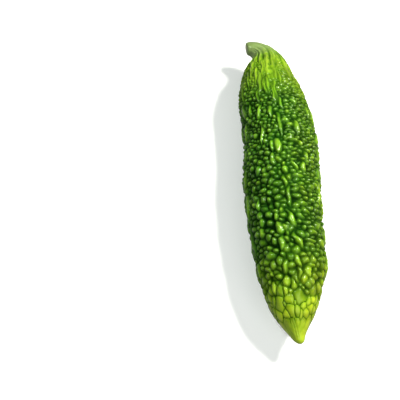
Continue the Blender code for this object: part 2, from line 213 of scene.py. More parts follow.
# %% [markdown]
# ## Lumps, ribs and tiles placed one by one
#
# The eye finds the same landmarks on any picture of this fruit: the broad smooth rib that comes
# down from the stem and splits, the long lumps on the ridges, the sideways lenses on the right
# shoulder, and the big tiles of the blossom end. Those are placed one by one, as a maker would
# press them into clay. Each row is where the shape starts, where it ends, and half its width:
# (along, degrees round, along, degrees round, half width).

# %% Landmarks on the top of the fruit
RIBS = [
    (212, -22, 186, -27, 2.0), (209, -5, 166, -11, 2.7), (206, 17, 184, 6, 1.5),
    (174, -14, 157, -17, 1.4), (176, -3, 151, -6, 1.4), (155, -3, 145, 0, 1.5),
    (209, -66, 176, -34, 1.9), (196, -14, 178, -17, 1.1),
    (180, -27, 156, -29, 1.6), (163, -34, 153, -37, 1.3), (184, -55, 166, -50, 1.3),
    (180, -67, 156, -69, 1.3), (170, -20, 158, -22, 1.1), (204, 38, 190, 30, 1.3),
    (203, -100, 180, -84, 1.6), (212, -40, 188, -41, 1.7), (207, 7, 174, 1, 1.8),
    (190, -19, 170, -22, 1.2), (190, -48, 172, -42, 1.3), (172, -21, 161, -23, 1.1),
    (178, 9, 165, 8, 1.2), (166, -8, 147, -12, 1.1), (186, -31, 168, -34, 1.2),
    (182, 2, 168, 1, 1.1),
]
LUMPS = [
    (154, -54, 145, -57, 2.0), (150, -35, 141, -41, 1.9), (148, -20, 139, -21, 1.9),
    (142, -9, 124, -8, 1.8), (135, -36, 121, -41, 1.4), (123, -17, 113, -11, 2.6),
    (122, -23, 114, -22, 1.1), (113, -23, 105, -19, 1.9), (137, 17, 126, 17, 2.4),
    (151, 44, 142, 49, 1.6), (122, 17, 118, 23, 1.9), (114, 28, 109, 34, 1.9),
    (106, 24, 100, 26, 2.2), (103, -5, 98, -1, 2.2), (106, 6, 101, 14, 1.6),
    (97, -9, 89, -2, 2.1), (106, -44, 100, -48, 2.1), (153, 14, 150, 26, 2.5),
    (73, -23, 69, -23, 1.7), (68, -22, 61, -20, 2.3), (59, -20, 51, -21, 1.9),
    (74, -6, 64, 2, 2.5), (61, -1, 52, 11, 2.3), (90, 0, 77, -1, 2.0), (45, -20, 38, -20, 2.4),
    (48, -2, 41, 4, 2.2), (84, -50, 77, -50, 1.6), (72, -47, 67, -49, 1.8),
    (66, -51, 60, -52, 2.2), (59, 46, 54, 58, 2.0), (36, -20, 31, -21, 2.2),
    (35, -8, 29, -8, 1.6), (30, -25, 26, -26, 2.1), (33, -48, 27, -46, 2.2),
    (41, 1, 34, 6, 2.2), (41, 18, 36, 22, 2.3), (33, 47, 29, 56, 1.8),
]
LENSES = [
    (131, -2, 131, 9, 1.1), (128, -2, 129, 11, 1.1), (125, 0, 125, 10, 1.1),
    (122, -2, 123, 11, 1.1), (119, 2, 119, 9, 1.4), (114, 4, 116, 18, 1.5),
    (111, 4, 112, 18, 1.2), (108, 4, 108, 14, 1.4),
    (97, 5, 97, 24, 1.9), (95, 29, 97, 45, 1.2), (93, 0, 93, 7, 1.4), (90, 14, 89, 28, 1.4),
    (80, 10, 79, 29, 1.7), (77, 18, 73, 31, 1.8), (72, 7, 70, 19, 2.0), (57, 16, 57, 38, 1.6),
    (54, 18, 54, 33, 1.4), (65, 23, 65, 41, 1.4), (42, 20, 42, 31, 1.8), (49, 15, 49, 24, 1.3),
    (78, -23, 79, -15, 2.0), (164, 4, 165, 14, 1.0), (153, -14, 150, -11, 1.1),
    (33, 15, 30, 28, 1.6), (38, 31, 35, 42, 1.7),
]
TILES = [
    (25, -38, 18, -47, 2.3), (22, -30, 20, -30, 1.1), (26, -20, 22, -18, 2.4),
    (28, -1, 21, 6, 2.5), (20, -18, 15, -15, 2.3), (20, -3, 15, 1, 1.5),
    (18, -32, 14, -35, 1.6), (18, 9, 13, 10, 0.9),
    (22, 14, 18, 14, 1.6), (18, 23, 14, 29, 1.5), (24, 28, 21, 28, 1.5), (25, 39, 22, 40, 1.5),
    (21, 36, 17, 38, 1.6), (20, 53, 17, 54, 1.5), (25, -57, 21, -62, 1.6),
]
# Round beads large enough to be landmarks: (along, degrees round, radius)
BIG_BEADS = [
    (105, -7, 1.7), (130, -26, 1.9), (144, 12, 1.5), (146, 5, 1.4), (90, 56, 2.4),
    (60, 21, 2.2),
    (45, 15, 2.4), (48, 10, 1.7), (87, -30, 2.0), (82, -31, 2.0), (83, -17, 2.2), (75, -14, 1.7),
    (73, -34, 2.3), (68, -36, 2.1), (69, -16, 1.7), (66, -8, 1.5), (62, -33, 2.0), (57, -31, 2.1),
    (61, -10, 1.7), (53, -7, 2.0), (53, -43, 2.0), (51, -33, 1.9), (43, -41, 2.3), (42, -10, 2.1),
    (48, -21, 1.9), (64, 17, 1.7), (68, 11, 1.5), (86, 36, 1.7), (31, 4, 1.8), (28, -14, 1.5),
    (38, -9, 1.6), (38, -45, 1.8), (27, 21, 1.4), (36, -34, 1.7), (34, -57, 1.7), (29, 11, 1.5),
]
# The lump under the fruit's weight, which it lies on
REST_LUMP = (98, 180, 112, 180, 3.0)
print(len(RIBS), "ribs,", len(LUMPS), "lumps and", len(LENSES), "lenses placed by hand")
print(len(TILES), "tiles and", len(BIG_BEADS), "big beads placed by hand")

# %% [markdown]
# ## Lumps and ribs by rule
#
# The sides and the underside need the same forms, but nobody counts them there. The lumps follow
# thirteen ridges, one after another with short gaps, and each rib runs down from the neck and
# then breaks up into shorter ones. The draws come from one seeded generator, so every run of the
# script grows the same fruit.

# %% Rows for the rest of the fruit
SEED = 18
RIDGES = 13
RIDGE_START = np.radians(-22)
RIDGE_FIRST, RIDGES_TO = (34, 44), 150  # where a ridge's first lump starts, and where lumps end
RIDGE_SWAY, RIDGE_WAVES = 0.07, 0.026  # radians either way, and radians of the sway in a mm
LUMP_LENGTH, LUMP_GAP, LUMP_HALF_WIDTH = (8, 20), (1, 6), (1.9, 2.6)
LUMP_STRAY, LUMP_LEAN = 0.02, 0.05
TOP_SIDE = np.radians(60)  # LUMPS fill the skin this far either way from the top

NECK_RIBS = 15
NECK_LANDMARKS = np.radians([-106, 24])  # RIBS fill this band of angles
RIB_STARTS, RIB_ENDS, RIB_HALF_WIDTH = (170, 186), (204, 214), (1.5, 2.3)
SHORT_RIBS = 2  # shorter ribs that follow each one
SHORT_RIB_LENGTH, SHORT_RIB_OVERLAP, SHORT_RIB_HALF_WIDTH = (8, 16), (-1, 4), (1.2, 1.8)
SHOULDER_SIDE = np.radians(90)
SHOULDER_RIB = 8  # length of a rib on the right shoulder, where the warts are small
RIB_STRAY, SHORT_RIB_STRAY, SHORT_RIB_LEAN = 0.05, 0.10, 0.06

rng = np.random.default_rng(SEED)


def ridge_rows():
    """Lumps in chains along the ridges. A ridge sways as a sine of the distance along."""
    rows = []
    for ridge in range(RIDGES):
        middle = RIDGE_START + TURN * ridge / RIDGES
        phase = rng.uniform(0, TURN)
        start = rng.uniform(*RIDGE_FIRST)
        while start < RIDGES_TO:
            end = start + rng.uniform(*LUMP_LENGTH)
            sway = RIDGE_SWAY * np.sin(RIDGE_WAVES * start + phase)
            angle = middle + sway + rng.normal(0, LUMP_STRAY)
            lean = rng.normal(0, LUMP_LEAN)
            half_width = rng.uniform(*LUMP_HALF_WIDTH)
            if abs(wrapped(angle)) > TOP_SIDE:
                rows.append((end, angle + lean, start, angle - lean, half_width))
            start = end + rng.uniform(*LUMP_GAP)
    return rows


def neck_rows():
    """Ribs side by side round the neck, each followed by two shorter lengths below it."""
    rows = []
    for rib in range(NECK_RIBS):
        angle = wrapped(TURN * (rib + 0.5) / NECK_RIBS + rng.normal(0, RIB_STRAY))
        end = rng.uniform(*RIB_ENDS)
        start = rng.uniform(*RIB_STARTS)
        foot = angle + rng.normal(0, RIB_STRAY)
        half_width = rng.uniform(*RIB_HALF_WIDTH)
        if NECK_LANDMARKS[0] < angle < NECK_LANDMARKS[1]:
            continue
        if 0 < angle < SHOULDER_SIDE:
            start = end - SHOULDER_RIB
        rows.append((end, angle, start, foot, half_width))
        for _ in range(SHORT_RIBS):
            end = start + rng.uniform(*SHORT_RIB_OVERLAP)
            start = end - rng.uniform(*SHORT_RIB_LENGTH)
            if start < RIDGES_TO:
                break
            head = angle + rng.normal(0, SHORT_RIB_STRAY)
            foot = head + rng.normal(0, SHORT_RIB_LEAN)
            rows.append((end, head, start, foot, rng.uniform(*SHORT_RIB_HALF_WIDTH)))
    return rows


def in_radians(rows, slimmer=1.0):
    """Listed rows, with their degrees in radians and their widths times slimmer."""
    return [
        (start, np.radians(first), end, np.radians(last), slimmer * half_width)
        for start, first, end, last, half_width in rows
    ]


ridge_lumps = ridge_rows()
side_ribs = neck_rows()
print("by rule:", len(ridge_lumps), "ridge lumps and", len(side_ribs), "ribs")

# %% [markdown]
# ## What a raised shape is
#
# Every wart, whatever its kind, is a dome on an ellipse that lies on the skin. It has a middle, a
# direction for its long axis, half a length, half a width and a height. A taper makes one end
# broader and a bow bends it, so that no two lumps are alike. One record type holds them all,
# which lets a single function raise them.

# %% The record of a raised shape
BEAD, LUMP, RIB, TILE = range(4)
LONG_REACH = 1.08  # a long shape reaches this share of its row's length
# Near its ends the fruit is taken as no thinner than this, so that angles stay small: for a
# shape's direction, the push between beads, the reach of a shape, the sway, and the lines
LEAST_RADIUS, LEAST_PUSHED, LEAST_REACHED, LEAST_SWAYED, LEAST_LINED = 3.0, 1.0, 0.4, 6.0, 0.3
BEAD_TILT = 0.12
FIELDS = "along angle half_length half_width toward_tip sideways height taper bow tone"
SHAPE = np.dtype([(name, float) for name in FIELDS.split()] + [("kind", int)])


def long_shapes(rows, kind, low, high, taper, bow):
    """Turns rows into shapes. The long axis joins the row's two places over the skin."""
    start_along, start_angle, end_along, end_angle, half_width = np.array(rows).T
    count = len(rows)
    shapes = np.zeros(count, SHAPE)
    shapes["along"] = (start_along + end_along) / 2
    shapes["angle"] = (start_angle + end_angle) / 2
    by_along = end_along - start_along
    by_round = (end_angle - start_angle) * np.maximum(skin_radius(shapes["along"]), LEAST_RADIUS)
    length = np.hypot(by_along, by_round)
    shapes["half_length"] = np.maximum(length / 2 * LONG_REACH, half_width)
    shapes["half_width"] = half_width
    shapes["toward_tip"] = by_along / length
    shapes["sideways"] = by_round / length
    shapes["height"] = rng.uniform(low, high, count)
    shapes["taper"] = rng.uniform(-taper, taper, count)
    shapes["bow"] = rng.uniform(-bow, bow, count)
    shapes["tone"] = rng.normal(0, 1, count)
    shapes["kind"] = kind
    return shapes


def round_shapes(along, angle, radius, stretch, height, kind):
    """Beads, which are stretched round the fruit by the share that stretch gives."""
    shapes = np.zeros(len(along), SHAPE)
    shapes["along"] = along
    shapes["angle"] = angle
    shapes["half_length"] = radius / np.sqrt(stretch)
    shapes["half_width"] = radius * np.sqrt(stretch)
    tilt = rng.normal(0, BEAD_TILT, len(along))
    shapes["toward_tip"] = np.cos(tilt)
    shapes["sideways"] = np.sin(tilt)
    shapes["height"] = height
    shapes["tone"] = rng.normal(0, 1, len(along))
    shapes["kind"] = kind
    return shapes


# A dome spreads past its rim, so these are drawn slimmer than they look
SLIM_LUMP, SLIM_BEAD = 0.85, 0.88
# Rows, kind, lowest and highest height, most taper and most bow
placed = np.concatenate(
    [
        long_shapes(in_radians(LUMPS, SLIM_LUMP), LUMP, 1.02, 1.15, 0.28, 0.34),
        long_shapes(in_radians([REST_LUMP]), LUMP, 1.1, 1.1, 0, 0),
        long_shapes(in_radians(LENSES, SLIM_BEAD), BEAD, 0.85, 1.0, 0.20, 0.25),
        long_shapes(in_radians(RIBS), RIB, 0.95, 1.10, 0.12, 0.15),
        long_shapes(in_radians(TILES), TILE, 1.0, 1.0, 0, 0),
        long_shapes(ridge_lumps, LUMP, 0.95, 1.15, 0.42, 0.65),
        long_shapes(side_ribs, RIB, 0.85, 1.05, 0.15, 0.15),
    ]
)
big_along, big_degrees, big_radius = np.array(BIG_BEADS).T
unstretched = np.ones(len(BIG_BEADS))
big_beads = round_shapes(
    big_along, np.radians(big_degrees), SLIM_BEAD * big_radius, unstretched, 1.0, BEAD
)
placed = np.concatenate([placed, big_beads])
print(len(placed), "shapes placed before the beads")

# %% [markdown]
# ## Where the beads go
#
# Beads fill what is left. Points thrown at random would clump and overlap, and a regular pattern
# would look printed. Here they start on a golden-angle spiral, as many to an area as their size
# asks. Then each one pushes its neighbours away, round after round, until they lie side by side
# like peas in a jar. The placed shapes don't move: discs strung along each of them keep it clear.
#
# Beads on the right shoulder are wider round the fruit than along it, and the small flat cells
# near the blossom are longer than wide. `stretch` is that share of width to length.

# %% Bead pitch and stretch
PITCH = [
    (10, 4.4), (20, 4.9), (34, 4.4), (55, 4.1), (80, 3.8), (100, 3.4), (125, 3.0), (150, 2.85),
    (175, 2.6), (195, 2.4), (206, 2.2),
]
BEADS_FROM, BEADS_TO = 11.0, 201.0
FILLED = 0.70  # beads as a share of those that would fill the skin if nothing else stood on it
DENSITY_STEPS = 2000
# The band of lenses on the right shoulder
LENS_ANGLE, LENS_SPREAD, LENS_STRETCH = np.radians(32), 0.50, 0.80
LENSES_IN, LENSES_OUT = (45, 30), (-206, 15)
EVEN_STRETCH, STRETCH_DRIFT, LEAST_STRETCH = 1.05, 0.16, 0.85
CELLS_TO, CELL_STRETCH = 36, 0.80


def pitch_at(along):
    """Distance from bead to bead."""
    return curve_through(PITCH, along)


def stretch_at(along, angle):
    """Width round the fruit over length along it.

    EVEN_STRETCH, plus a bell centred on LENS_ANGLE that fades in from the tip and out to the
    neck, plus a product of two slow sines. Cells near the blossom have CELL_STRETCH.
    """
    bell = np.exp(-((wrapped(angle - LENS_ANGLE) / LENS_SPREAD) ** 2))
    lenses = LENS_STRETCH * bell * ramp(along, *LENSES_IN) * ramp(-along, *LENSES_OUT)
    slow = np.sin(3 * angle + 0.045 * along + 2.0) * np.sin(0.06 * along + angle)
    stretch = np.maximum(EVEN_STRETCH + lenses + STRETCH_DRIFT * slow, LEAST_STRETCH)
    return np.where(along < CELLS_TO, CELL_STRETCH, stretch)


DISCS, DISC_REACH, DISC_WIDTH, DISC_TAPER = 9, 0.92, 0.92, 0.8


def discs_along(shapes):
    """Discs strung on each shape's long axis, smaller towards its ends: along, angle, radius."""
    share = np.linspace(-DISC_REACH, DISC_REACH, DISCS)
    reach = share * shapes["half_length"][:, None]
    along = shapes["along"][:, None] + reach * shapes["toward_tip"][:, None]
    round_it = np.maximum(skin_radius(along), LEAST_RADIUS)
    angle = shapes["angle"][:, None] + reach * shapes["sideways"][:, None] / round_it
    radius = DISC_WIDTH * shapes["half_width"][:, None] * np.sqrt(1 - DISC_TAPER * share**2)
    return along.ravel(), angle.ravel(), radius.ravel()


bead_line = np.linspace(BEADS_FROM, BEADS_TO, DENSITY_STEPS)
crowding = skin_radius(bead_line) / pitch_at(bead_line) ** 2


def by_crowding(shares):
    """Places along the fruit, from shares of all its beads counted from the tip."""
    filled = np.cumsum(crowding)
    return np.interp(shares, filled / filled[-1], bead_line)


# The area from BEADS_FROM to BEADS_TO over the square of the pitch, times FILLED
BEAD_COUNT = int(FILLED * TURN * crowding.mean() * (BEADS_TO - BEADS_FROM))
discs = discs_along(placed)
print(BEAD_COUNT, "beads to place")
print(len(discs[0]), "discs keep the beads off the placed shapes")

# %% Push the beads apart
PUSHES, NEIGHBOURS, FURTHEST_PUSH = 36, 200, 0.9  # rounds, neighbours either way, and mm
BEAD_GIVES, SHAPE_GIVES = 0.38, 0.6  # the share of an overlap that one round takes away
FIRST_SCATTER = 0.3
BEAD_SIZES, BEAD_SIZE_SHARES = [1.22, 1.0, 0.75], [0.28, 0.42, 0.30]
BEAD_SIZE_SPREAD = (0.94, 1.06)


def first_places(count):
    """A golden-angle spiral whose turns are closer where the pitch is smaller."""
    along = by_crowding((np.arange(count) + 0.5) / count)
    golden = np.pi * (3 - np.sqrt(5))
    return along, wrapped(np.arange(count) * golden + rng.normal(0, FIRST_SCATTER, count))


def over_skin(along, angle, other_along, other_angle):
    """Steps along and round, in mm of the stretched skin, from other places to each place."""
    root = np.sqrt(stretch_at(along, angle))[:, None]
    round_it = np.maximum(skin_radius(along), LEAST_PUSHED)[:, None]
    by_along = (along[:, None] - other_along) * root
    return by_along, round_it * wrapped(angle[:, None] - other_angle) / root


def pushed_apart(along, angle, size):
    """Beads move away from whatever is nearer than the sum of the two radii.

    The push on a bead is the sum, over its neighbours, of the overlap times the direction away
    from the neighbour, both measured over the stretched skin.
    """
    count = len(along)
    along = np.concatenate([along, discs[0]])
    angle = np.concatenate([angle, discs[1]])
    moves = np.arange(len(along)) < count
    steps = np.arange(-NEIGHBOURS, NEIGHBOURS + 1)
    for _ in range(PUSHES):
        order = np.argsort(along)
        a, t, free = along[order], angle[order], moves[order]
        radius = np.concatenate([0.5 * pitch_at(along[:count]) * size, discs[2]])[order]
        round_it = np.maximum(skin_radius(a), LEAST_PUSHED)
        root = np.sqrt(stretch_at(a, t))
        other = np.arange(len(a))[:, None] + steps
        real = (other >= 0) & (other < len(a)) & (steps != 0)
        other = np.clip(other, 0, len(a) - 1)
        by_along, by_round = over_skin(a, t, a[other], t[other])
        apart = np.hypot(by_along, by_round) + 1e-6
        too_near = np.clip(radius[:, None] + radius[other] - apart, 0, None) * real
        push = too_near / apart * np.where(free[other], BEAD_GIVES, SHAPE_GIVES)
        move_along, move_round = (
            np.clip((push * way).sum(1), -FURTHEST_PUSH, FURTHEST_PUSH)
            for way in (by_along, by_round)
        )
        along[order] = np.where(free, np.clip(a + move_along / root, BEADS_FROM, BEADS_TO), a)
        angle[order] = np.where(free, t + move_round * root / round_it, t)
    return along[:count], wrapped(angle[:count])


start_along, start_angle = first_places(BEAD_COUNT)
bead_size = rng.choice(BEAD_SIZES, BEAD_COUNT, p=BEAD_SIZE_SHARES)
bead_size = bead_size * rng.uniform(*BEAD_SIZE_SPREAD, BEAD_COUNT)
bead_along, bead_angle = pushed_apart(start_along, start_angle, bead_size)
bead_radius = 0.5 * pitch_at(bead_along) * bead_size
print("beads moved by", round(float(np.abs(bead_along - start_along).mean()), 2), "mm on average")

# %% [markdown]
# ## Drop the buried ones, fill the gaps
#
# A few beads end up half under a lump, and a few corners stay empty. The buried ones go. Each
# empty place then gets a small bead, the roomiest place first, which is why the skin between the
# big beads is never bare.

# %% Keep, drop and fill
# A bead whose middle is nearer than these shares of its radius to another rim is buried
CLEAR_OF_SHAPES, CLEAR_OF_BEADS = 0.35, 0.2
FAR_AWAY = 1e3
FILL_TRIES, BATCHES = 16000, 16
LEAST_ROOM = 0.18  # a fill bead needs this share of the pitch to itself
BEAD_CLAIM, FILL_SWELL = 0.96, 1.15


def clear_of(along, angle, others):
    """Distance over the stretched skin from each place to the rim of each other disc."""
    return np.hypot(*over_skin(along, angle, *others[:2])) - others[2]


def not_buried(along, angle, radius):
    """True where a bead's middle is clear of the placed shapes and of every larger bead."""
    free = clear_of(along, angle, discs).min(1) > CLEAR_OF_SHAPES * radius
    gap = clear_of(along, angle, (along, angle, radius))
    gap[radius[:, None] >= radius] = FAR_AWAY
    return free & (gap.min(1) > CLEAR_OF_BEADS * radius)


def fill_beads(along, angle, radius):
    """Small beads, the roomiest place first, until no place has LEAST_ROOM of the pitch left."""
    place = by_crowding(rng.uniform(0, 1, FILL_TRIES))
    turn = rng.uniform(-np.pi, np.pi, FILL_TRIES)
    pitch = pitch_at(place)
    taken = [np.concatenate(pair) for pair in zip((along, angle, BEAD_CLAIM * radius), discs)]
    batches = zip(np.split(place, BATCHES), np.split(turn, BATCHES))
    room = np.concatenate([clear_of(p, t, taken).min(1) for p, t in batches])
    chosen = []
    while (room / pitch).max() > LEAST_ROOM:
        best = int((room / pitch).argmax())
        bead = (place[best], turn[best], min(FILL_SWELL * room[best], 0.5 * pitch[best]))
        chosen.append(bead)
        disc = [np.array([value]) for value in bead]
        room = np.minimum(room, clear_of(place, turn, disc)[:, 0])
    return np.array(chosen).T


kept = not_buried(bead_along, bead_angle, bead_radius)
kept_beads = (bead_along[kept], bead_angle[kept], bead_radius[kept])
small = fill_beads(*kept_beads)
bead_along, bead_angle, bead_radius = map(np.concatenate, zip(kept_beads, small))
print(int(kept.sum()), "beads kept,", len(small[0]), "small ones fill the gaps")

# %% Beads as raised shapes
SIZE_RANGE = (0.45, 1.1)
BEAD_HEIGHT, HEIGHT_BY_SIZE, HEIGHT_SPREAD = 0.95, 0.7, (0.84, 1.04)

relative_size = np.clip(bead_radius / (0.5 * pitch_at(bead_along)), *SIZE_RANGE)
bead_height = BEAD_HEIGHT * relative_size**HEIGHT_BY_SIZE
bead_height = bead_height * rng.uniform(*HEIGHT_SPREAD, len(bead_along))
bead_stretch = stretch_at(bead_along, bead_angle)
beads = round_shapes(bead_along, bead_angle, bead_radius, bead_stretch, bead_height, BEAD)
shapes = np.concatenate([placed, beads])
shapes = np.concatenate([shapes[shapes["kind"] == RIB], shapes[shapes["kind"] != RIB]])
print(len(shapes), "raised shapes in all")

# %% [markdown]
# ## Raise the skin
#
# d is the distance of a place from the middle of a shape, 1 at its rim. A dome's height is one
# less a power of d, to another power: the first power gives a broad top, the second steep sides.
# Domes alone would leave bare floor between them, and real warts have none: each one swells until
# it meets its neighbours. So every place looks at its two nearest shapes. It belongs to the nearest
# one, whose dome may spread to SPREAD times its size, and a crease runs where both are as near.
# CREASE says how deep that crease is. It wanders, so that some warts melt into their neighbours.
#
# Near the blossom end the same two distances give tiles instead: flat tops, with a narrow groove
# between them, as in cracked mud. A slow sway of the places, a third of a millimetre, takes the
# ruled look off the ellipses, and a fine ripple breaks up the lights on the tops. The ribs of the
# neck are strands of one bundle, so the crease between two ribs is shallower, by RIB_JOIN.

# %% The formula of the relief
# The two powers of a dome, in the order of the kinds: bead, lump, rib, tile
DOME_TOP = np.array([2.1, 2.2, 1.8, 2.4])
DOME_SIDE = np.array([0.72, 0.72, 0.85, 0.72])
# How square the ends of a shape's plan are: 2 is an ellipse
PLAN = [2.0, 2.6, 3.4, 2.2]
SPREAD = 1.28
CREASE, CREASE_WANDER, CREASE_RANGE = 0.92, 0.09, (0.70, 0.98)
RIB_TONE, RIB_JOIN = 0.35, 0.30
GROOVE, GROOVE_FADE = 0.20, 5.0
TILE_FLAT, TILE_CROWN = 0.72, 0.28
TILES_FROM, TILES_TO, TILES_FADE = 9.0, 20.0, 11.0
# Below the tiles the cone is smooth, at this share of the relief
CONE_LEVEL, CONE_TO, CONE_FADE = 0.95, 5.0, 7.0
# How far from a shape its distances are worked out, in times its size, and the margins in mm
REACH, TILE_REACH, TILE_MARGIN, REACH_MARGIN = 1.7, 2.4, 4, 1
NOWHERE_NEAR = 9.0
CUT_ROWS = 20  # the last rows, which turn over the cut, carry no shapes
SWAY, SWAY_WAVES = 0.34, (6, 12)
CREASE_WAVES = (7, 20)
RIPPLE, RIPPLE_WAVES = 0.035, (2.2, 4.5)
WAVE_COUNT = 9
MEAN_RADIUS = 23
# The skin sways less near the blossom tip and near the stub, whose ramp is read backwards
CALM_TIP, CALM_STUB = (6, 20), (-212, 30)


def waves(along, angle, lengths):
    """A sum of plane waves, about 1 high, with whole numbers of waves round the fruit."""
    length = rng.uniform(*lengths, WAVE_COUNT)
    direction = rng.uniform(0, np.pi, WAVE_COUNT)
    phase = rng.uniform(0, TURN, WAVE_COUNT)
    total = np.zeros(np.broadcast(along, angle).shape)
    for long, way, start in zip(length, direction, phase):
        round_it = np.round(TURN / long * np.sin(way) * MEAN_RADIUS)
        total += np.sin(TURN / long * np.cos(way) * along + round_it * angle + start)
    return total / np.sqrt(WAVE_COUNT / 2)


def nearest_shapes(shapes, along, angle):
    """Distances to the two nearest shapes, and the number of the nearest.

    u and v are the distances along and across a shape, over its half length and half width. v is
    less the bow and over the taper, and d is the root of u to the power PLAN plus v squared.
    Ribs come first, so only the second distance between two ribs is RIB_JOIN further.
    """
    skin = np.maximum(skin_radius(row_along), LEAST_REACHED)[:, None]
    nearest = np.full(along.shape, NOWHERE_NEAR)
    second = np.full(along.shape, NOWHERE_NEAR)
    owner = np.zeros(along.shape, int)
    for number, shape in enumerate(shapes):
        tiled = shape["along"] < TILES_TO + TILES_FADE + TILE_MARGIN
        reach = TILE_REACH if tiled else REACH
        span = reach * max(shape["half_length"], shape["half_width"]) + REACH_MARGIN
        ends = [shape["along"] - span, shape["along"] + span]
        first, last = np.searchsorted(row_along[:-CUT_ROWS], ends)
        if first == last:
            continue
        round_it = max(skin[first:last].min(), LEAST_PUSHED)
        off = np.abs(wrapped(column_angle - shape["angle"]))
        columns = np.flatnonzero(off < span / round_it)
        window = np.ix_(np.arange(first, last), columns)
        by_along = along[window] - shape["along"]
        by_round = skin[first:last] * wrapped(angle[window] - shape["angle"])
        u = (by_along * shape["toward_tip"] + by_round * shape["sideways"]) / shape["half_length"]
        v = (by_round * shape["toward_tip"] - by_along * shape["sideways"]) / shape["half_width"]
        v = (v - shape["bow"] * (1 - u * u)) / (1 + shape["taper"] * np.clip(u, -1, 1))
        d = np.sqrt(np.abs(u) ** PLAN[shape["kind"]] + v * v)
        apart = np.maximum(nearest[window], d) + RIB_JOIN * (shape["kind"] == RIB)
        second[window] = np.minimum(second[window], apart)
        owner[window] = np.where(d < nearest[window], number, owner[window])
        nearest[window] = np.minimum(nearest[window], d)
    return nearest, second, owner


def raise_skin(shapes):
    """Height as a share of the relief, and the kind and tone of the shape that stands there."""
    along = np.broadcast_to(row_along[:, None], (ROWS, COLUMNS))
    angle = np.broadcast_to(column_angle, (ROWS, COLUMNS))
    skin = np.maximum(skin_radius(row_along), LEAST_SWAYED)[:, None]
    free = ramp(along, *CALM_TIP) * ramp(-along, *CALM_STUB)
    swayed_along = along + free * SWAY * waves(along, angle, SWAY_WAVES)
    swayed_angle = angle + free * SWAY * waves(along, angle, SWAY_WAVES) / skin
    nearest, second, owner = nearest_shapes(shapes, swayed_along, swayed_angle)
    crease = CREASE + CREASE_WANDER * waves(along, angle, CREASE_WAVES)
    border = np.clip(crease, *CREASE_RANGE) * 2 * nearest / (nearest + second)
    reached = np.minimum(np.maximum(nearest / SPREAD, border), 1)
    kind = shapes["kind"][owner]
    dome = shapes["height"][owner] * (1 - reached ** DOME_TOP[kind]) ** DOME_SIDE[kind]
    dome = dome * (1 + RIPPLE * (kind != RIB) * waves(along, angle, RIPPLE_WAVES))
    groove = np.exp(-(((second - nearest) / GROOVE) ** 2))
    groove = groove * ease(along, TILES_FROM, GROOVE_FADE)
    tile = (1 - groove) * (TILE_FLAT + TILE_CROWN * np.clip(1 - nearest**2, 0, 1))
    tile = tile + (CONE_LEVEL - tile) * (1 - ease(along, CONE_TO, CONE_FADE))
    tiled = 1 - ease(along, TILES_TO, TILES_FADE)
    long_kind = (kind == LUMP) | (kind == RIB)
    tone = shapes["tone"][owner] * np.where(kind == RIB, RIB_TONE, 1)
    return (1 - tiled) * dome + tiled * tile, long_kind * 1.0, tone


share, kind, tone = raise_skin(shapes)
print("skin under a wart:", round(float((share > 0.25).mean()) * 100), "%")

# %% [markdown]
# ## Lines on the blossom end, folds on the neck
#
# The smooth cone of the blossom end isn't quite plain. Shallow lines run down it to the point,
# where the petals once stood. Each is a narrow bell across its angle, and it fades out both at
# the point and where the tiles begin. The hook of the neck has folds of the same kind.
#
# The warts on the right shoulder are flatter than the rest, and their valleys are less dark, as
# if they had melted together. Each wart there could be given its own height, but one smooth bell
# over the whole shoulder calms them all.

# %% Lines, folds and the calm shoulder
CONE_LINES = np.radians([-150, -118, -84, -47, -20, -6, 13, 38, 66, 101, 139, 176])
LINE_WIDTH, LINE_DEPTH = 0.45, 0.16
FOLDS = np.radians([-165, -128, -97, -72, -50, -36, -15, 5, 27, 52, 85, 122, 158])
# The last of these is how much painted shade darkens the colour in the folds
FOLD_WIDTH, FOLD_DEPTH, FOLD_SHADE = 0.75, 0.55, 0.6
# Radians either way, radians of the sway in a mm, and its phase for a radian round the fruit
LINE_SWAY, FOLD_SWAY = (0.05, 0.5, 7), (0.10, 0.09, 5)
SHOULDER_ANGLE, SHOULDER_SPREAD = np.radians(28), 0.75
SHOULDER_FROM, SHOULDER_FADE = 145, 30
CALM_SHARE = 0.35  # how far the calm goes towards flat, and towards an even tone
EVEN_TONE = 0.75  # the share that the finish reads where no wart shows
SMOOTH_FROM, SMOOTH_FADE = 198, 12  # the stub has no warts from here on


def bells(lines, width, sway, wave, phase):
    """The highest of the bells across the angle, one to a line. A line sways as a sine."""
    skin = np.maximum(skin_radius(row_along), LEAST_LINED)[:, None]
    depth = np.zeros((ROWS, COLUMNS))
    for line in lines:
        bend = line + sway * np.sin(wave * row_along + phase * line)[:, None]
        across = skin * wrapped(column_angle - bend) / width
        depth = np.maximum(depth, np.exp(-(across**2)))
    return depth


def on_rows(begin, fade_in, end, fade_out):
    """For every row: rises from 0 to 1 after begin, and falls back to 0 after end."""
    return (ease(row_along, begin, fade_in) * (1 - ease(row_along, end, fade_out)))[:, None]


cone_lines = LINE_DEPTH * on_rows(1.5, 4, 12, 6) * bells(CONE_LINES, LINE_WIDTH, *LINE_SWAY)
folds = on_rows(180, 14, 208, 9) * bells(FOLDS, FOLD_WIDTH, *FOLD_SWAY)
shoulder = np.exp(-((wrapped(column_angle - SHOULDER_ANGLE) / SHOULDER_SPREAD) ** 2))
calm = shoulder * ease(row_along, SHOULDER_FROM, SHOULDER_FADE)[:, None]
height = curve_through(RELIEF, row_along)[:, None] * share * (1 - CALM_SHARE * calm)
height = height - cone_lines - FOLD_DEPTH * folds
height[row_along >= STUB_END] = 0
# The finish reads this share, whose low end paints shade into the valleys: folds get that
# painted shade, the calm shoulder less of it, and the stub shows no warts
share = (share + CALM_SHARE * calm * (EVEN_TONE - share)) * (1 - FOLD_SHADE * folds)
share = share + (EVEN_TONE - share) * ease(row_along, SMOOTH_FROM, SMOOTH_FADE)[:, None]
print("highest wart:", round(float(height.max()), 2), "mm")

